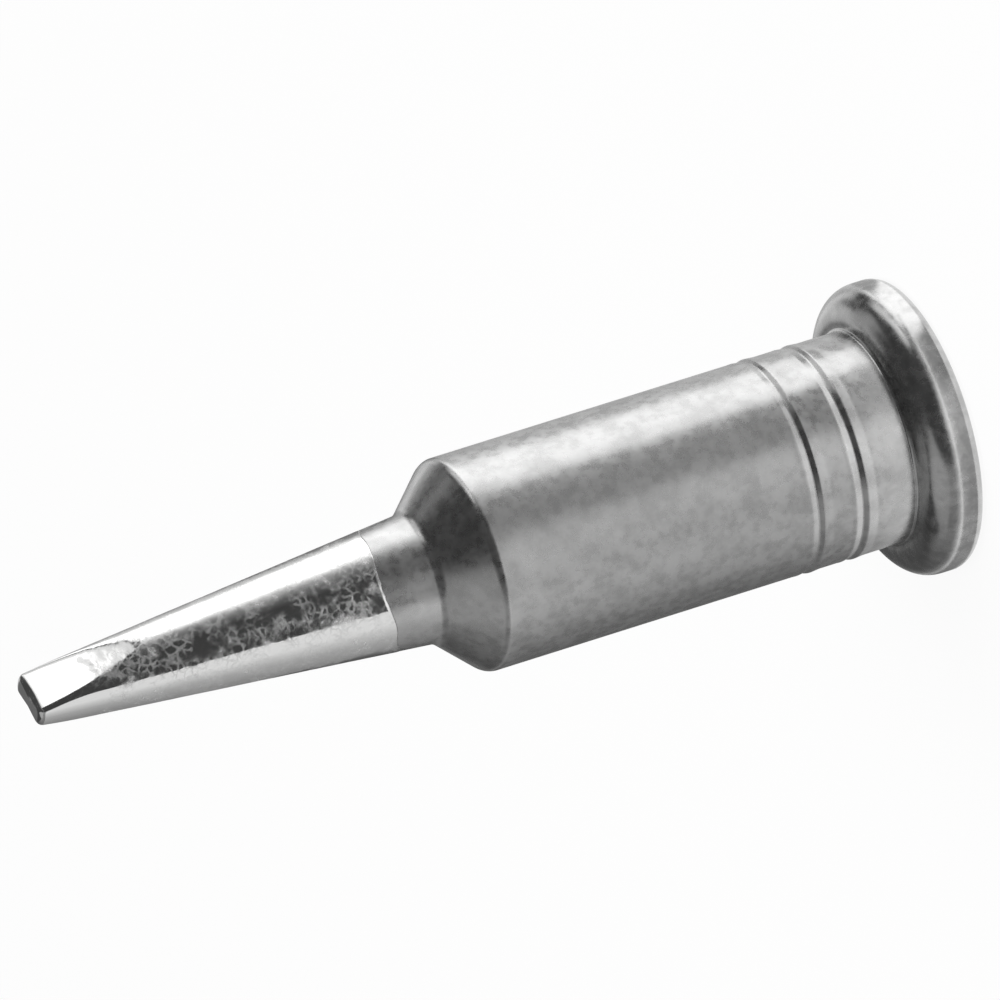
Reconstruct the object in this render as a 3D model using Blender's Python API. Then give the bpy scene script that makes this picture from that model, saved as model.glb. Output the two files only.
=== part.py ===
"""Soldering iron tip: a turned and plated copper bit with a double-flat chisel end.

The tip is one piece of metal with no joint. Its deep bore slips over the heater of an iron, and
the iron's sleeve nut bears on the front of its flange. Here it stands on the flange, chisel up.
Metres, +Z up. The origin is the centre of the flange's rear face.
"""
import math

import bmesh
import bpy
from mathutils import Matrix, Vector

MM = 0.001

# Lengths along the axis
BARREL_LENGTH = 18.97 * MM
CONE_LENGTH = 1.71 * MM
TAPER_LENGTH = 15.9 * MM

# Flange: from the barrel outwards a fillet, a flat land and a crown down to the rim
FLANGE_THICKNESS = 2.07 * MM
FLANGE_FILLET = 0.2 * MM
LAND_WIDTH = 0.75 * MM
LAND_ROUND = 0.1 * MM
CROWN_WIDTH = 0.77 * MM
CROWN_DROP = 1.17 * MM
RIM_REAR_ROUND = 0.45 * MM

# Barrel and its bore, which takes the iron's heater
BARREL_DIAMETER = 8.2 * MM
SHOULDER_ROUND = 0.55 * MM
BARREL_WALL = 0.8 * MM
BORE_END_TO_SHOULDER = 2.97 * MM
DRILL_POINT_ANGLE = math.radians(118)
MOUTH_CHAMFER = 0.3 * MM

# Two fine rings rolled into the barrel: a shallow groove with its rear lip standing proud
RING_COUNT = 2
RING_PITCH = 1.81 * MM
RING_TO_FLANGE = 2.03 * MM
GROOVE_DEPTH = 0.05 * MM
GROOVE_ENTRY_LENGTH = 0.22 * MM
GROOVE_ROUND = 0.1 * MM
LIP_HEIGHT = 0.04 * MM
LIP_RISE_LENGTH = 0.15 * MM
LIP_ROUND = 0.1 * MM
LIP_TAIL_LENGTH = 0.4 * MM

# Taper from the cone to the working end
TAPER_ROOT_DIAMETER = 4.98 * MM
TAPER_END_DIAMETER = 2.08 * MM
TAPER_FILLET = 0.7 * MM
NOSE_ROUND = 0.15 * MM

# Chisel: two flats ground on opposite sides, facing -Y and +Y
CHISEL_THICKNESS = 0.8 * MM
FLAT_ANGLE = math.radians(13.4)
CHISEL_EDGE_ROUND = 0.1 * MM

# Fineness of the turned surfaces, and the most of a side that a rounding at its end takes
TURNED_SEGMENTS = 72
ARC_STEP = math.radians(16)
ROUNDING_SHARE = 0.48
WELD_DISTANCE = 0.0001 * MM
CUTTER_OVERRUN = 1.0 * MM
SHARP_ANGLE = math.radians(30)

# Heights and radii that follow from the sizes above
BARREL_RADIUS = BARREL_DIAMETER / 2
BORE_RADIUS = BARREL_RADIUS - BARREL_WALL
BORE_DEPTH = BARREL_LENGTH - BORE_END_TO_SHOULDER
LAND_OUTER_RADIUS = BARREL_RADIUS + LAND_WIDTH
FLANGE_RADIUS = LAND_OUTER_RADIUS + CROWN_WIDTH
TAPER_ROOT_RADIUS = TAPER_ROOT_DIAMETER / 2
TAPER_END_RADIUS = TAPER_END_DIAMETER / 2
TAPER_ROOT_HEIGHT = BARREL_LENGTH + CONE_LENGTH
OVERALL_LENGTH = TAPER_ROOT_HEIGHT + TAPER_LENGTH

PLATED_COLOR = (0.6, 0.59, 0.58, 1.0)
PLATED_ROUGHNESS = 0.35


def clear_scene():
    """Removes every object of the open scene."""
    for thing in list(bpy.data.objects):
        bpy.data.objects.remove(thing, do_unlink=True)


def rounded_outline(corners):
    """Points of an outline whose (across, height, rounding) corners are turned into arcs.

    A rounding takes no more than its share of the shorter side beside it.
    """
    outline = []
    for index, (across, height, rounding) in enumerate(corners):
        corner = Vector((across, height))
        if rounding == 0:
            outline.append(corner)
            continue
        last_side = Vector(corners[index - 1][:2]) - corner
        next_side = Vector(corners[index + 1][:2]) - corner
        turn = math.pi - last_side.angle(next_side)
        room = ROUNDING_SHARE * min(last_side.length, next_side.length)
        setback = min(rounding * math.tan(turn / 2), room)
        radius = setback / math.tan(turn / 2)
        inward = (last_side.normalized() + next_side.normalized()).normalized()
        centre = corner + inward * radius / math.cos(turn / 2)
        spoke = corner + last_side.normalized() * setback - centre
        steps = math.ceil(turn / ARC_STEP)
        way = math.copysign(turn / steps, next_side.cross(last_side))
        for step in range(steps + 1):
            outline.append(centre + Matrix.Rotation(way * step, 2) @ spoke)
    return outline


def ring_corners(lip_crest):
    """Outline corners of one rolled ring whose lip stands at the height lip_crest."""
    groove_bottom = lip_crest + LIP_RISE_LENGTH
    return [
        (BARREL_RADIUS, groove_bottom + GROOVE_ENTRY_LENGTH, 0),
        (BARREL_RADIUS - GROOVE_DEPTH, groove_bottom, GROOVE_ROUND),
        (BARREL_RADIUS + LIP_HEIGHT, lip_crest, LIP_ROUND),
        (BARREL_RADIUS, lip_crest - LIP_TAIL_LENGTH, 0),
    ]


def crown_corners():
    """Outline corners on the arc from the land's outer edge down to the straight rim."""
    radius = (CROWN_WIDTH**2 + CROWN_DROP**2) / (2 * CROWN_WIDTH)
    centre = Vector((FLANGE_RADIUS - radius, FLANGE_THICKNESS - CROWN_DROP))
    sweep = math.atan2(CROWN_DROP, radius - CROWN_WIDTH)
    steps = math.ceil(sweep / ARC_STEP)
    corners = [(LAND_OUTER_RADIUS, FLANGE_THICKNESS, LAND_ROUND)]
    for step in reversed(range(steps)):
        angle = sweep * step / steps
        corners.append((centre.x + radius * math.cos(angle), centre.y + radius * math.sin(angle), 0))
    return corners


def turned_outline():
    """Half section of the tip: down the outside from the nose, then up the bore."""
    rear_crest = FLANGE_THICKNESS + RING_TO_FLANGE
    drill_point = BORE_RADIUS / math.tan(DRILL_POINT_ANGLE / 2)
    corners = [
        (0, OVERALL_LENGTH, 0),
        (TAPER_END_RADIUS, OVERALL_LENGTH, NOSE_ROUND),
        (TAPER_ROOT_RADIUS, TAPER_ROOT_HEIGHT, TAPER_FILLET),
        (BARREL_RADIUS, BARREL_LENGTH, SHOULDER_ROUND),
    ]
    for ring in reversed(range(RING_COUNT)):
        corners += ring_corners(rear_crest + ring * RING_PITCH)
    corners.append((BARREL_RADIUS, FLANGE_THICKNESS, FLANGE_FILLET))
    corners += crown_corners()
    corners += [
        (FLANGE_RADIUS, 0, RIM_REAR_ROUND),
        (BORE_RADIUS + MOUTH_CHAMFER, 0, 0),
        (BORE_RADIUS, MOUTH_CHAMFER, 0),
        (BORE_RADIUS, BORE_DEPTH, 0),
        (0, BORE_DEPTH + drill_point, 0),
    ]
    return rounded_outline(corners)


def turned_mesh(name, outline):
    """Spins a half section about +Z into a closed, smooth-shaded mesh."""
    shape = bmesh.new()
    points = [shape.verts.new((radius, 0, height)) for radius, height in outline]
    edges = [shape.edges.new(pair) for pair in zip(points, points[1:])]
    bmesh.ops.spin(
        shape,
        geom=points + edges,
        cent=(0, 0, 0),
        axis=(0, 0, 1),
        angle=math.tau,
        steps=TURNED_SEGMENTS,
        use_merge=True,
    )
    bmesh.ops.remove_doubles(shape, verts=shape.verts, dist=WELD_DISTANCE)
    bmesh.ops.recalc_face_normals(shape, faces=shape.faces)
    mesh = bpy.data.meshes.new(name)
    shape.to_mesh(mesh)
    shape.free()
    mesh.shade_smooth()
    mesh.set_sharp_from_angle(angle=SHARP_ANGLE)
    return mesh


def flat_outline():
    """Outline of what the grinding of one flat takes away, as (distance from the axis, height)."""
    half_end = CHISEL_THICKNESS / 2
    taper_slope = (TAPER_ROOT_RADIUS - TAPER_END_RADIUS) / TAPER_LENGTH
    flat_slope = math.tan(FLAT_ANGLE)
    flat_length = (TAPER_END_RADIUS - half_end) / (flat_slope - taper_slope)
    run = flat_length + CUTTER_OVERRUN
    ground = rounded_outline([
        (0, OVERALL_LENGTH, 0),
        (half_end, OVERALL_LENGTH, CHISEL_EDGE_ROUND),
        (half_end + run * flat_slope, OVERALL_LENGTH - run, 0),
    ])
    above = OVERALL_LENGTH + CUTTER_OVERRUN
    return ground[1:] + [Vector((ground[-1].x, above)), Vector((ground[1].x, above))]


def flat_cutter(name, turn):
    """Cutter of one flat: the outline drawn out along X, wider than the taper."""
    half_width = TAPER_ROOT_RADIUS + CUTTER_OVERRUN
    shape = bmesh.new()
    points = [shape.verts.new((-half_width, across, height)) for across, height in flat_outline()]
    side = shape.faces.new(points)
    drawn = bmesh.ops.extrude_face_region(shape, geom=[side])
    far_points = [part for part in drawn["geom"] if isinstance(part, bmesh.types.BMVert)]
    bmesh.ops.translate(shape, verts=far_points, vec=(2 * half_width, 0, 0))
    bmesh.ops.recalc_face_normals(shape, faces=shape.faces)
    mesh = bpy.data.meshes.new(name)
    shape.to_mesh(mesh)
    shape.free()
    cutter = bpy.data.objects.new(name, mesh)
    cutter.rotation_euler.z = turn
    cutter.hide_render = True
    cutter.display_type = "WIRE"
    bpy.context.scene.collection.objects.link(cutter)
    return cutter


def plated_metal():
    """Nickel and iron plating over the copper, satin."""
    material = bpy.data.materials.new("plated_metal")
    material.use_nodes = True
    surface = material.node_tree.nodes["Principled BSDF"]
    surface.inputs["Base Color"].default_value = PLATED_COLOR
    surface.inputs["Metallic"].default_value = 1.0
    surface.inputs["Roughness"].default_value = PLATED_ROUGHNESS
    return material


def build_tip():
    """The turned body with its two ground flats."""
    mesh = turned_mesh("soldering_tip", turned_outline())
    mesh.materials.append(plated_metal())
    tip = bpy.data.objects.new("soldering_tip", mesh)
    bpy.context.scene.collection.objects.link(tip)
    for name, turn in (("flat_cutter_back", 0.0), ("flat_cutter_front", math.pi)):
        cut = tip.modifiers.new(name, "BOOLEAN")
        cut.operation = "DIFFERENCE"
        cut.solver = "EXACT"
        cut.object = flat_cutter(name, turn)
    return tip


clear_scene()
build_tip()
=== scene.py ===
"""Soldering iron tip: the looks of the plated bit and its tinned end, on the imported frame."""
import math

import bmesh
import bpy
from mathutils import Matrix, Vector, noise


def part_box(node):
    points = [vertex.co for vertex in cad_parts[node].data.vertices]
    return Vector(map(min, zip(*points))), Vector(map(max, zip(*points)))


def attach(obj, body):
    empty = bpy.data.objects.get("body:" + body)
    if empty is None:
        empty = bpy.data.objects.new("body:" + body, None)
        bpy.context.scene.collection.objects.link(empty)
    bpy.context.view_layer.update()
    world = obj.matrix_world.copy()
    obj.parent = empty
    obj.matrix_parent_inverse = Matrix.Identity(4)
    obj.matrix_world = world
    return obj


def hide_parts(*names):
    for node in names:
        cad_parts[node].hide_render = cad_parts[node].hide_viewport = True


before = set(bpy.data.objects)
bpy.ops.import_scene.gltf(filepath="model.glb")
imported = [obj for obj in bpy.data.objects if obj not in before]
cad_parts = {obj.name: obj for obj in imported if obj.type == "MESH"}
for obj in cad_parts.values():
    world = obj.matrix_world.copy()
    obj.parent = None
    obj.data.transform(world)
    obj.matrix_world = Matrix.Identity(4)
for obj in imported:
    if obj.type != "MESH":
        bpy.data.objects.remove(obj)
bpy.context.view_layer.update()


# Plated body
# A copper bar, turned to a flange, a hollow barrel and a cone in one chucking, then plated with
# iron, nickel and a satin top coat. The two rings are rolled into the barrel near the flange.
MM = 0.001
tip_low, tip_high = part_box("soldering_tip")
overall_length = tip_high.z - tip_low.z
barrel_length = 18.97 * MM
barrel_radius = 4.1 * MM
shoulder_round = 0.55 * MM
cone_length = 1.71 * MM
taper_root_height = barrel_length + cone_length
taper_root_radius = 2.49 * MM
taper_end_radius = 1.02 * MM
taper_fillet = 0.7 * MM
taper_slope = (taper_root_radius - taper_end_radius) / (overall_length - taper_root_height)
stub_height = 23.4 * MM
bore_radius = 3.3 * MM
bore_depth = 16.0 * MM
drill_point_angle = math.radians(118)
drill_point_length = bore_radius / math.tan(drill_point_angle / 2)
mouth_chamfer = 0.3 * MM
flange_radius = (tip_high.x - tip_low.x) / 2
flange_thickness = 2.07 * MM
flange_fillet = 0.2 * MM
land_inner_radius = 4.35 * MM
crown_drop = 1.17 * MM
crown_fullness = 2.2
crown_steps = 48
rim_rear_round = 0.45 * MM
fine_round = 0.05 * MM
ring_lips = (4.1 * MM, 5.91 * MM)
ring_groove_depth = 0.05 * MM
ring_lip_height = 0.04 * MM
ring_front_lip_height = 0.012 * MM
ring_front_lip_length = 0.15 * MM
ring_entry_length = 0.29 * MM
ring_rise_length = 0.2 * MM
ring_tail_length = 0.4 * MM
ring_soft_bend = 1.2 * MM
ring_tight_bend = 0.18 * MM
body_segments = 288
arc_step = math.radians(4)
longest_side = 0.8 * MM
rounding_share = 0.48
weld_distance = 0.0001 * MM
sharp_angle = math.radians(40)


def arc_outline(corners):
    """Points of a half section whose (radius, height, rounding) corners become arcs."""
    outline = []
    for index, (radius, height, rounding) in enumerate(corners):
        corner = Vector((radius, height))
        if rounding == 0:
            outline.append(corner)
            continue
        back = Vector(corners[index - 1][:2]) - corner
        ahead = Vector(corners[index + 1][:2]) - corner
        turn = math.pi - back.angle(ahead)
        room = rounding_share * min(back.length, ahead.length)
        setback = min(rounding * math.tan(turn / 2), room)
        arc_radius = setback / math.tan(turn / 2)
        inward = (back.normalized() + ahead.normalized()).normalized()
        centre = corner + inward * arc_radius / math.cos(turn / 2)
        spoke = corner + back.normalized() * setback - centre
        steps = math.ceil(turn / arc_step)
        way = math.copysign(turn / steps, ahead.cross(back))
        outline += [centre + Matrix.Rotation(way * count, 2) @ spoke for count in range(steps + 1)]
    filled = [outline[0]]
    for point in outline[1:]:
        pieces = math.ceil((point - filled[-1]).length / longest_side)
        start = filled[-1]
        filled += [start.lerp(point, count / pieces) for count in range(1, pieces + 1)]
    return filled


def spun_mesh(name, outline, segments):
    """A closed turned mesh from a half section that starts and ends on the axis."""
    shape = bmesh.new()
    points = [shape.verts.new((radius, 0, height)) for radius, height in outline]
    edges = [shape.edges.new(pair) for pair in zip(points, points[1:])]
    bmesh.ops.spin(
        shape,
        geom=points + edges,
        cent=(0, 0, 0),
        axis=(0, 0, 1),
        angle=math.tau,
        steps=segments,
        use_merge=True,
    )
    bmesh.ops.remove_doubles(shape, verts=shape.verts, dist=weld_distance)
    bmesh.ops.recalc_face_normals(shape, faces=shape.faces)
    mesh = bpy.data.meshes.new(name)
    shape.to_mesh(mesh)
    shape.free()
    mesh.shade_smooth()
    mesh.set_sharp_from_angle(angle=sharp_angle)
    return mesh


def place(name, mesh):
    """A new piece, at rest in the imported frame."""
    piece = bpy.data.objects.new(name, mesh)
    bpy.context.scene.collection.objects.link(piece)
    return piece


def ring_section(lip):
    """One rolled ring, from its front edge to its rear edge: a shallow groove and its proud lip."""
    groove = lip + ring_rise_length
    front_lip = groove + ring_entry_length
    return [
        (barrel_radius, front_lip + ring_front_lip_length, ring_soft_bend),
        (barrel_radius + ring_front_lip_height, front_lip, ring_soft_bend),
        (barrel_radius - ring_groove_depth, groove, ring_tight_bend),
        (barrel_radius + ring_lip_height, lip, ring_tight_bend),
        (barrel_radius, lip - ring_tail_length, ring_soft_bend),
    ]


def crown_section():
    """The flange's front: almost flat near the barrel, then bending down to the straight rim."""
    crown_width = flange_radius - land_inner_radius
    section = []
    for step in range(crown_steps + 1):
        share = math.sin(math.pi / 2 * step / crown_steps)
        drop = crown_drop * (1 - math.sqrt(max(0.0, 1 - share ** crown_fullness)))
        section.append((land_inner_radius + crown_width * share, flange_thickness - drop, 0))
    return section


def body_section():
    """Half section of the body: down the outside from a stub inside the tin, then up the bore."""
    stub_radius = taper_root_radius - taper_slope * (stub_height - taper_root_height)
    section = [
        (0, stub_height, 0),
        (stub_radius, stub_height, fine_round),
        (taper_root_radius, taper_root_height, taper_fillet),
        (barrel_radius, barrel_length, shoulder_round),
    ]
    for lip in reversed(ring_lips):
        section += ring_section(lip)
    section.append((barrel_radius, flange_thickness, flange_fillet))
    section += crown_section()
    section += [
        (flange_radius, 0, rim_rear_round),
        (bore_radius + mouth_chamfer, 0, fine_round),
        (bore_radius, mouth_chamfer, fine_round),
        (bore_radius, bore_depth, 0),
        (0, bore_depth + drill_point_length, 0),
    ]
    return section


plated_body = place("plated_body", spun_mesh("plated_body", arc_outline(body_section()), body_segments))


def new_material(name):
    """A node material with its Principled shader, and short ways to add and join nodes."""
    material = bpy.data.materials.new(name)
    material.use_nodes = True
    nodes = material.node_tree.nodes
    links = material.node_tree.links
    surface = nodes["Principled BSDF"]
    place_on_piece = nodes.new("ShaderNodeTexCoord").outputs["Object"]

    def add(kind, inputs=(), **settings):
        node = nodes.new(kind)
        for setting, value in settings.items():
            setattr(node, setting, value)
        for socket, value in dict(inputs).items():
            if isinstance(value, bpy.types.NodeSocket):
                links.new(value, node.inputs[socket])
            else:
                node.inputs[socket].default_value = value
        return node

    return material, surface, place_on_piece, add, links


def grains(add, where, size, detail=2.0):
    """Cloudy noise whose blotches are about size across."""
    cloud = {"Vector": where, "Scale": 0.5 / size, "Detail": detail, "Roughness": 0.55}
    return add("ShaderNodeTexNoise", cloud).outputs["Fac"]


def between(add, value, low, high, from_low=0.3, from_high=0.7):
    """The value, whose useful range is from_low to from_high, spread softly from low to high."""
    spread = add(
        "ShaderNodeMapRange",
        {"Value": value, "From Min": from_low, "From Max": from_high, "To Min": low, "To Max": high},
        interpolation_type="SMOOTHSTEP",
    )
    return spread.outputs["Result"]


def combined(add, operation, first, second):
    """Two values joined by a Math node."""
    return add("ShaderNodeMath", {0: first, 1: second}, operation=operation).outputs[0]


def colour_between(add, factor, first, second):
    """A colour between two. Sockets 6 and 7 of the Mix node take colours, and output 2 gives one."""
    return add("ShaderNodeMix", {"Factor": factor, 6: first, 7: second}, data_type="RGBA").outputs[2]


def relief(add, height, strength, depth):
    """The surface's normal where the height gives it fine relief, up to depth deep."""
    bump = add("ShaderNodeBump", {"Height": height, "Strength": strength, "Distance": depth})
    return bump.outputs[0]


dark_plating = (0.48, 0.48, 0.478, 1)
light_plating = (0.62, 0.62, 0.618, 1)
plating_roughness = (0.24, 0.34)
plating_speckle = 0.2 * MM
plating_blotch = 0.5 * MM
plating_relief = 0.012 * MM
flange_polish = 0.85
polish_fade = 0.4 * MM


def satin_plating():
    """The satin plated skin: neutral, finely mottled by the blasting under it."""
    material, surface, where, add, links = new_material("satin_plating")
    speckles = grains(add, where, plating_speckle)
    both = combined(add, "ADD", speckles, grains(add, where, plating_blotch))
    mottle = combined(add, "MULTIPLY", both, 0.5)
    share = between(add, mottle, 0.0, 1.0, 0.36, 0.64)
    links.new(colour_between(add, share, dark_plating, light_plating), surface.inputs["Base Color"])
    surface.inputs["Metallic"].default_value = 1.0
    height = add("ShaderNodeSeparateXYZ", {0: where}).outputs["Z"]
    polish = between(add, height, flange_polish, 1.0, flange_thickness, flange_thickness + polish_fade)
    blur = combined(add, "MULTIPLY", between(add, speckles, *plating_roughness), polish)
    links.new(blur, surface.inputs["Roughness"])
    links.new(relief(add, mottle, 0.35, plating_relief), surface.inputs["Normal"])
    return material


dark_bore = (0.2, 0.19, 0.18, 1)
light_bore = (0.38, 0.37, 0.36, 1)
bore_blotch = 1.2 * MM
drill_mark_pitch = 0.12 * MM
drill_mark_relief = 0.01 * MM


def drilled_bore():
    """The bore: fine drill marks round the wall, a little oxidised by the heater."""
    material, surface, where, add, links = new_material("drilled_bore")
    marks = add(
        "ShaderNodeTexWave",
        {"Vector": where, "Scale": 0.5 / drill_mark_pitch, "Distortion": 1.5, "Detail": 2.0},
        bands_direction="Z",
    )
    share = between(add, grains(add, where, bore_blotch, 3.0), 0.0, 1.0)
    links.new(colour_between(add, share, dark_bore, light_bore), surface.inputs["Base Color"])
    surface.inputs["Metallic"].default_value = 1.0
    surface.inputs["Roughness"].default_value = 0.45
    links.new(relief(add, marks.outputs["Fac"], 0.4, drill_mark_relief), surface.inputs["Normal"])
    return material


plated_body.data.materials.append(satin_plating())
plated_body.data.materials.append(drilled_bore())
bore_top = bore_depth + drill_point_length
bore_reach = bore_radius + 0.01 * MM
for face in plated_body.data.polygons:
    if face.center.xy.length < bore_reach and face.center.z < bore_top:
        face.material_index = 1
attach(plated_body, "root")
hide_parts("soldering_tip")


# Tinned end
# The taper and the chisel under their coat of tin: dipped in molten solder at the works, it has
# drawn smooth along the taper, gathered a little on the flats and ended in a wavy line at the collar.
tin_line_height = 22.28 * MM
tin_line_swing = 0.55 * MM
tin_line_crest = math.radians(-120)
tin_line_waver = 0.1 * MM
coat = 0.006 * MM
bead_height = 0.003 * MM
bead_width = 0.12 * MM
hem_insets = (0.4 * MM, 0.05 * MM, 0.0)
hem_lift = 0.05 * MM
flat_angle = math.radians(13.4)
chisel_half_thickness = 0.4 * MM
end_round = 0.22 * MM
end_round_steps = 10
end_face_shares = (0.85, 0.7, 0.5, 0.3, 0.15)
edge_softness_at_end = 13
edge_softness_growth = 4 / MM
edge_softness_reach = 4 * MM
front_pool_start = 34.3 * MM
back_pool_start = 33.6 * MM
pool_waver = 0.3 * MM
pool_lip_height = 0.016 * MM
pool_lip_length = 0.3 * MM
pool_slope = math.tan(math.radians(0.9))
wide_lump = 0.9 * MM
wide_lump_height = 0.006 * MM
small_lump = 0.32 * MM
small_lump_height = 0.003 * MM
small_lump_shift = Vector((7, 3, 1))
lump_fade = 0.4 * MM
least_lump_share = 0.2
end_segments = 224
ring_spacing = 0.05 * MM
tinned_top = overall_length - end_round


def taper_radius(height):
    """Radius of the bare taper at a height."""
    return taper_root_radius - taper_slope * (height - taper_root_height)


def pool_thickness(height, angle):
    """Tin gathered on the rear of a flat: thickest behind its ragged front lip, then thinning."""
    start = front_pool_start if math.sin(angle) < 0 else back_pool_start
    waver = pool_waver * noise.noise(Vector((4 * math.cos(angle), height / MM, 2)))
    reach = max(0.0, start + waver - height)
    rise = min(1.0, reach / pool_lip_length)
    lip = pool_lip_height * rise * rise * (3 - 2 * rise)
    return max(0.0, lip - pool_slope * max(0.0, reach - pool_lip_length))


def soft_radius(height, angle):
    """Radius of the taper cut by the two flats, with their edges rounded by the tin."""
    from_end = overall_length - height
    flat = chisel_half_thickness + from_end * math.tan(flat_angle) + pool_thickness(height, angle)
    sine = max(abs(math.sin(angle)), 1e-6)
    taper = taper_radius(height)
    power = -(edge_softness_at_end + edge_softness_growth * min(from_end, edge_softness_reach))
    return (taper ** power + (flat / sine) ** power) ** (1 / power)


def lumps(point):
    """How far the tin stands off the smooth shape at a point: least near the chisel's end."""
    wide = noise.noise(Vector((point.x, point.y, point.z * 0.5)) / wide_lump)
    small = noise.noise(point / small_lump + small_lump_shift)
    from_pool = (front_pool_start + lump_fade / 2 - point.z) / lump_fade
    share = min(1.0, max(least_lump_share, from_pool))
    return share * (wide_lump_height * wide + small_lump_height * small)


def tin_line(angle):
    """Height at which the tin starts: slanted round the taper, and a little ragged."""
    round_point = Vector((math.cos(angle), math.sin(angle), 0.3))
    waver = tin_line_waver * noise.noise(round_point * 2.2)
    return tin_line_height + tin_line_swing * math.cos(angle - tin_line_crest) + waver


def coat_thickness(reach):
    """Thickness of the tin at a distance above its edge, where it stands up in a fine bead."""
    bead = bead_height * math.exp(-((reach - bead_width) / bead_width) ** 2)
    return (coat + bead) * min(1.0, reach / bead_width)


def hem_rings(angles):
    """Rings of (radius, angle, height) that tuck the tin's edge under the plated collar."""
    rings = []
    for inset in hem_insets:
        ring = []
        for angle in angles:
            height = tin_line(angle) + (hem_lift if inset else 0)
            ring.append((soft_radius(height, angle) - inset, angle, height))
        rings.append(ring)
    return rings


def side_rings(angles):
    """Rings up the taper and the flats, from the tin's edge to where the end starts to round."""
    rings = []
    ring_count = round((tinned_top - tin_line_height) / ring_spacing)
    for count in range(1, ring_count + 1):
        share = count / ring_count
        ring = []
        for angle in angles:
            start = tin_line(angle)
            height = start + (tinned_top - start) * share
            radius = soft_radius(height, angle)
            point = Vector((radius * math.cos(angle), radius * math.sin(angle), height))
            ring.append((radius + coat_thickness(height - start) + lumps(point), angle, height))
        rings.append(ring)
    return rings


def end_rings(angles, brow):
    """Rings that round the end over, going on along each side's own slope, and fill its face."""
    leans = []
    for angle in angles:
        lost = soft_radius(tinned_top - ring_spacing, angle) - soft_radius(tinned_top, angle)
        leans.append(math.atan(lost / ring_spacing))
    rings = []
    for count in range(1, end_round_steps + 1):
        ring = []
        for lean, (radius, angle, height) in zip(leans, brow):
            turn = lean + (math.pi / 2 - lean) * count / end_round_steps
            bend = end_round / (1 - math.sin(lean))
            back = bend * (math.cos(lean) - math.cos(turn))
            ring.append((radius - back, angle, height + bend * (math.sin(turn) - math.sin(lean))))
        rings.append(ring)
    face = rings[-1]
    for share in end_face_shares:
        rings.append([(radius * share, angle, height) for radius, angle, height in face])
    return rings


def tinned_mesh():
    """Rings of points up the tinned end, closed by a point at each end."""
    angles = [math.tau * count / end_segments for count in range(end_segments)]
    sides = side_rings(angles)
    rings = hem_rings(angles) + sides + end_rings(angles, sides[-1])
    shape = bmesh.new()
    columns = []
    for ring in rings:
        points = [(r * math.cos(a), r * math.sin(a), z) for r, a, z in ring]
        columns.append([shape.verts.new(point) for point in points])
    for lower, upper in zip(columns, columns[1:]):
        for index in range(end_segments):
            after = (index + 1) % end_segments
            shape.faces.new((lower[index], lower[after], upper[after], upper[index]))
    bottom = shape.verts.new((0, 0, tin_line_height))
    top = shape.verts.new((0, 0, overall_length))
    for index in range(end_segments):
        after = (index + 1) % end_segments
        shape.faces.new((bottom, columns[0][after], columns[0][index]))
        shape.faces.new((top, columns[-1][index], columns[-1][after]))
    mesh = bpy.data.meshes.new("tinned_end")
    shape.to_mesh(mesh)
    shape.free()
    mesh.shade_smooth()
    return mesh


tinned_end = place("tinned_end", tinned_mesh())
tin_colour = (0.8, 0.8, 0.795, 1)
bright_roughness = 0.09
frosted_roughness = 0.3
frosted_metal = 0.62
frost_grain = 0.3 * MM
frost_wander = 0.3 * MM
frost_patch = 0.42 * MM
frost_cloud = 0.24 * MM
frost_relief = 0.004 * MM
end_frost = 0.2
end_frost_fade = 0.5 * MM


def bright_tin():
    """Bright tin, mirror smooth, with a frosted net of fine grains where it froze slowly."""
    material, surface, where, add, links = new_material("bright_tin")
    surface.inputs["Base Color"].default_value = tin_colour
    wander = add("ShaderNodeTexNoise", {"Vector": where, "Scale": 1 / frost_wander, "Detail": 2.0})
    shift = add(
        "ShaderNodeVectorMath",
        {0: wander.outputs["Color"], "Scale": frost_wander},
        operation="SCALE",
    )
    bent = add("ShaderNodeVectorMath", {0: where, 1: shift.outputs[0]}, operation="ADD")
    cells = add(
        "ShaderNodeTexVoronoi",
        {"Vector": bent.outputs[0], "Scale": 1 / frost_grain},
        feature="DISTANCE_TO_EDGE",
    )
    veins = between(add, cells.outputs["Distance"], 0.6, 0, 0.0, 0.3)
    patches = between(add, grains(add, where, frost_patch), 0, 1, 0.38, 0.62)
    net = combined(add, "MULTIPLY", veins, patches)
    cloud = between(add, grains(add, where, frost_cloud, 3.0), 0, 1.0, 0.4, 0.85)
    height = add("ShaderNodeSeparateXYZ", {0: where}).outputs["Z"]
    fade_start = front_pool_start - end_frost_fade
    worn = between(add, height, 1.0, end_frost, fade_start, front_pool_start + end_frost_fade)
    frost = combined(add, "MULTIPLY", combined(add, "MAXIMUM", net, cloud), worn)
    links.new(between(add, frost, 1.0, frosted_metal, 0, 1), surface.inputs["Metallic"])
    links.new(between(add, frost, bright_roughness, frosted_roughness, 0, 1), surface.inputs["Roughness"])
    links.new(relief(add, frost, 0.5, frost_relief), surface.inputs["Normal"])
    return material


tinned_end.data.materials.append(bright_tin())
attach(tinned_end, "root")


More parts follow.
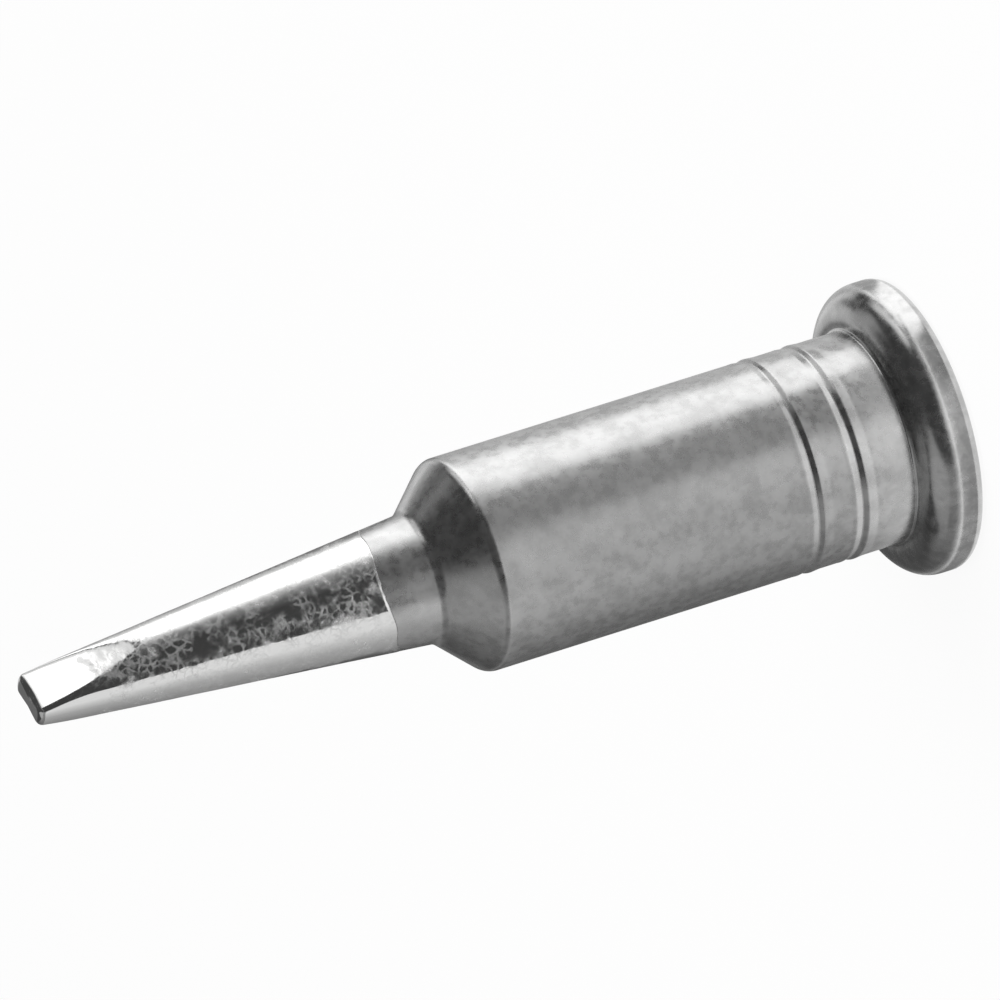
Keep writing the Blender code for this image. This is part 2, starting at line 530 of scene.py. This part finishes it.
# Camera
# Seen from the chisel's front left, a little above the flange, through a long lens. The tip
# stands upright on its flange, so the camera is rolled to lay it across the picture.
picture_width = 1000
sensor_width = 36.0
lens = 1200.0
farthest_seen = 10
view_azimuth = math.radians(-35)
view_rise = math.radians(20)
axis_in_picture = math.radians(17.4)
pixel = 0.036871 * MM
aim_height = 16.65 * MM
aim_aside = 1.855 * MM
to_camera_level = Vector((math.sin(view_azimuth), -math.cos(view_azimuth), 0))
up = Vector((0, 0, 1))
to_camera = to_camera_level * math.cos(view_rise) + up * math.sin(view_rise)
across = to_camera_level.cross(up)
down_axis = to_camera_level * math.sin(view_rise) - up * math.cos(view_rise)
picture_right = down_axis * math.cos(axis_in_picture) + across * math.sin(axis_in_picture)
picture_up = down_axis * math.sin(axis_in_picture) - across * math.cos(axis_in_picture)
aim = up * aim_height - across * aim_aside
camera_data = bpy.data.cameras.new("camera")
camera_data.lens = lens
camera_data.sensor_width = sensor_width
camera_data.clip_end = farthest_seen
camera = bpy.data.objects.new("camera", camera_data)
distance = lens / sensor_width * picture_width * pixel
turn = Matrix((picture_right, picture_up, to_camera)).transposed().to_4x4()
camera.matrix_world = Matrix.Translation(aim + to_camera * distance) @ turn
bpy.context.scene.collection.objects.link(camera)
bpy.context.scene.camera = camera


# Studio
# A white paper table with a white horizon and two soft lamps. Cards bent round the tip, some lying
# on the table and some standing 30 cm away, are the bright and dark shapes that the metal mirrors.
bpy.context.scene.view_settings.view_transform = "Standard"
to_lamp = -across
floor_half = 1.5
paper_colour = (0.85, 0.85, 0.85, 1)
paper_glow = 0.92
floor_mesh = bpy.data.meshes.new("floor")
floor_mesh.from_pydata(
    [(x * floor_half, y * floor_half, 0) for x, y in ((-1, -1), (1, -1), (1, 1), (-1, 1))],
    [],
    [(0, 1, 2, 3)],
)
floor = place("floor", floor_mesh)
material, surface, where, add, links = new_material("floor_paper")
surface.inputs["Base Color"].default_value = paper_colour
surface.inputs["Roughness"].default_value = 0.9
surface.inputs["Specular IOR Level"].default_value = 0.0
glow = add("ShaderNodeEmission", {"Color": (1, 1, 1, 1), "Strength": 1.0})
path = add("ShaderNodeLightPath")
seen = combined(add, "MAXIMUM", path.outputs["Is Camera Ray"], path.outputs["Is Glossy Ray"])
seen_or_through = combined(add, "MAXIMUM", seen, path.outputs["Is Transmission Ray"])
share = combined(add, "MULTIPLY", seen_or_through, paper_glow)
blend = add("ShaderNodeMixShader", {0: share, 1: surface.outputs[0], 2: glow.outputs[0]})
links.new(blend.outputs[0], material.node_tree.nodes["Material Output"].inputs["Surface"])
floor.data.materials.append(material)

card_step = 4


def toward(azimuth_degrees):
    """Level direction at an angle from the camera's side, growing toward the lamp."""
    azimuth = math.radians(azimuth_degrees)
    return to_camera_level * math.cos(azimuth) + to_lamp * math.sin(azimuth)


def card(name, stations, profile):
    """A card bent round the tip, seen only by the metal.

    Each station is (azimuth, tone), and the profile's points are (distance, height) in mm.
    """
    shape = bmesh.new()
    tone_layer = shape.verts.layers.float.new("tone")
    columns = []
    for (azimuth, tone), (next_azimuth, next_tone) in zip(stations, stations[1:]):
        steps = math.ceil((next_azimuth - azimuth) / card_step)
        for count in range(steps + 1):
            share = count / steps
            direction = toward(azimuth + (next_azimuth - azimuth) * share)
            column = [shape.verts.new(direction * out * MM + up * high * MM) for out, high in profile]
            for point in column:
                point[tone_layer] = tone + (next_tone - tone) * share
            columns.append(column)
    for left, right in zip(columns, columns[1:]):
        for index in range(len(profile) - 1):
            shape.faces.new((left[index], right[index], right[index + 1], left[index + 1]))
    mesh = bpy.data.meshes.new(name)
    shape.to_mesh(mesh)
    shape.free()
    piece = place(name, mesh)
    material, _, _, add, links = new_material(name)
    tone = add("ShaderNodeAttribute", attribute_name="tone")
    glow = add("ShaderNodeEmission", {"Strength": tone.outputs["Fac"]})
    links.new(glow.outputs[0], material.node_tree.nodes["Material Output"].inputs["Surface"])
    mesh.materials.append(material)
    piece.visible_camera = False
    piece.visible_diffuse = False
    piece.visible_shadow = False


# Distances from the axis in mm, up to which each part of the tip mirrors the table, and how far
# above the table the cards and the brighter panels lie
flange_edge = 5.9
rim_reach = 8.3
ring_reach = 10.4
heel_reach = 12.5
root_reach = 20
panel_reach = 57
barrel_reach = 60
limb_reach = 85
collar_reach = 105
cards_end = 300
upright_distance = 301
wall_distance = 302
card_lift = 0.04
panel_lift = 0.05


def table_card(name, stations, inner, outer, lift=card_lift):
    """A card lying on the table between two distances."""
    card(name, stations, [(inner, lift), (outer, lift)])


def standing_card(name, stations, low, high, away=wall_distance):
    """A card standing round the tip between two heights in mm."""
    card(name, stations, [(away, low), (away, high)])


rim_tones = [
    (-180, 0.22), (-120, 0.17), (-92, 0.3), (-60, 0.41), (-38, 0.38), (-15, 0.49), (8, 0.55), (20, 0.3),
    (38, 0.4), (44, 1.6), (80, 1.6), (86, 0.5), (112, 0.5),
]
ring_tones = [
    (-180, 0.3), (-120, 0.55), (-92, 1.0), (-60, 1.3), (-38, 1.2), (-15, 1.5), (8, 1.5), (24, 1.3),
    (64, 1.3),
]
heel_tones = [
    (-180, 0.22), (-120, 0.4), (-92, 0.65), (-60, 0.8), (-38, 0.75), (-15, 0.95), (8, 0.9), (22, 0.4),
    (64, 0.35),
]
barrel_tones = [
    (-180, 0.12), (-150, 0.15), (-120, 0.22), (-92, 0.4), (-60, 0.55), (-38, 0.5), (-15, 0.65), (8, 0.75),
    (20, 0.4), (64, 0.45),
]
root_tones = [(azimuth, tone * (1.05 if azimuth < 15 else 0.6)) for azimuth, tone in barrel_tones]
collar_tones = [(-42, 0.85), (-20, 1.1), (2, 0.9), (14, 0.3), (40, 0.15), (64, 0.4)]
side_tones = [(-99, 0.44), (-80, 0.64), (-66, 0.83), (-42, 0.85)]
limb_tones = [(-180, 0.08), (-150, 0.1), (-132, 0.26)] + side_tones
far_tones = [(-180, 0.22), (-150, 0.26), (-132, 0.3)] + side_tones
front_tones = [(-41, 0.05), (28, 0.05), (44, 0.13), (56, 0.28), (64, 0.6), (74, 1.5), (76, 1.9)]
table_card("rim_card", rim_tones, flange_edge, rim_reach)
table_card("ring_card", ring_tones, rim_reach, ring_reach)
table_card("heel_card", heel_tones, ring_reach, heel_reach)
table_card("root_card", root_tones, heel_reach, root_reach)
table_card("barrel_card", barrel_tones, root_reach, barrel_reach)
table_card("collar_card", collar_tones, barrel_reach, collar_reach)
table_card("limb_card", limb_tones, barrel_reach, limb_reach)
table_card("far_card", far_tones, limb_reach, cards_end)
table_card("front_card", front_tones, collar_reach, cards_end, panel_lift)

# Walls in front of the tip and on its darker side, then behind it
under_tones = [(-178, 0.05), (-160, 0.08), (-140, 0.14), (-110, 0.2), (-60, 0.3), (-41, 0.3)]
standing_card("front_wall", [(-41, 0.05), (134, 0.05)], 0, 120)
standing_card("under_wall", under_tones, 0, 140)
standing_card("under_top", [(-150, 0.1), (-125, 0.2), (-98, 0.34)], 140, 235)
standing_card("rear_wall", [(140, 0.9), (168, 1.0), (176, 0.5), (182, 0.12), (215, 0.1)], 0, 64)
standing_card("rear_top", [(150, 0.6), (168, 0.75), (175, 0.65), (179, 0.15), (215, 0.08)], 64, 190)

# The bright side, where a large window or soft box would be
ring_panel_tones = [(64, 1.7), (88, 1.7), (92, 0.5), (112, 0.5)]
limb_panel_tones = [(76, 1.9), (114, 1.9), (126, 0.9), (140, 0.3), (168, 0.12), (180, 0.1)]
far_panel_tones = [(76, 1.9), (116, 1.9), (132, 0.7), (160, 0.3), (180, 0.25)]
upright_tones = [(59, 1.9), (76, 1.9), (84, 1.0), (112, 0.9)]
table_card("ring_panel", ring_panel_tones, rim_reach, heel_reach, panel_lift)
table_card("light_panel", [(64, 1.6), (112, 1.6)], heel_reach, panel_reach, panel_lift)
table_card("limb_panel", limb_panel_tones, panel_reach, limb_reach, panel_lift)
table_card("far_panel", far_panel_tones, limb_reach, cards_end, panel_lift)
standing_card("upright_panel", upright_tones, 43, 60, upright_distance)
standing_card("upright_foot", [(59, 0.85), (112, 0.85)], 18, 43, upright_distance)
standing_card("upright_head", [(59, 1.0), (112, 1.0)], 60, 110, upright_distance)
standing_card("high_card", [(106, 0.06), (114, 0.4), (165, 0.45)], 185, 340)
table_card("rear_card", [(112, 0.75), (135, 0.6), (180, 0.5)], flange_edge, panel_reach, panel_lift)


def lamp(name, azimuth, rise, away, width, height, watts):
    """A soft rectangular lamp aimed at the middle of the tip."""
    data = bpy.data.lights.new(name, "AREA")
    data.shape = "RECTANGLE"
    data.size = width
    data.size_y = height
    data.energy = watts
    thing = bpy.data.objects.new(name, data)
    rise = math.radians(rise)
    direction = toward(azimuth) * math.cos(rise) + up * math.sin(rise)
    thing.location = up * overall_length / 2 + direction * away
    thing.rotation_mode = "QUATERNION"
    thing.rotation_quaternion = direction.to_track_quat("Z", "Y")
    bpy.context.scene.collection.objects.link(thing)
    return thing


lamp("fill_lamp", azimuth=-74, rise=50, away=0.5, width=0.56, height=0.5, watts=0.32)
table_lamp = lamp("table_lamp", azimuth=60, rise=70, away=0.6, width=0.5, height=0.5, watts=4.0)
table_lamp.visible_glossy = False

# The world fades from a pale horizon to a dim ceiling, and the camera sees it white
sky_tones = {"From Min": 0.05, "From Max": 0.42, "To Min": 0.75, "To Max": 0.06}
world = bpy.data.worlds.new("studio")
bpy.context.scene.world = world
world.use_nodes = True
nodes, links = world.node_tree.nodes, world.node_tree.links
height = nodes.new("ShaderNodeSeparateXYZ")
links.new(nodes.new("ShaderNodeTexCoord").outputs["Generated"], height.inputs[0])
fade = nodes.new("ShaderNodeMapRange")
fade.interpolation_type = "SMOOTHSTEP"
for socket, value in sky_tones.items():
    fade.inputs[socket].default_value = value
links.new(height.outputs["Z"], fade.inputs["Value"])
view_path = nodes.new("ShaderNodeLightPath")
brightest = nodes.new("ShaderNodeMath")
brightest.operation = "MAXIMUM"
links.new(fade.outputs[0], brightest.inputs[0])
links.new(view_path.outputs["Is Camera Ray"], brightest.inputs[1])
links.new(brightest.outputs[0], nodes["Background"].inputs["Color"])
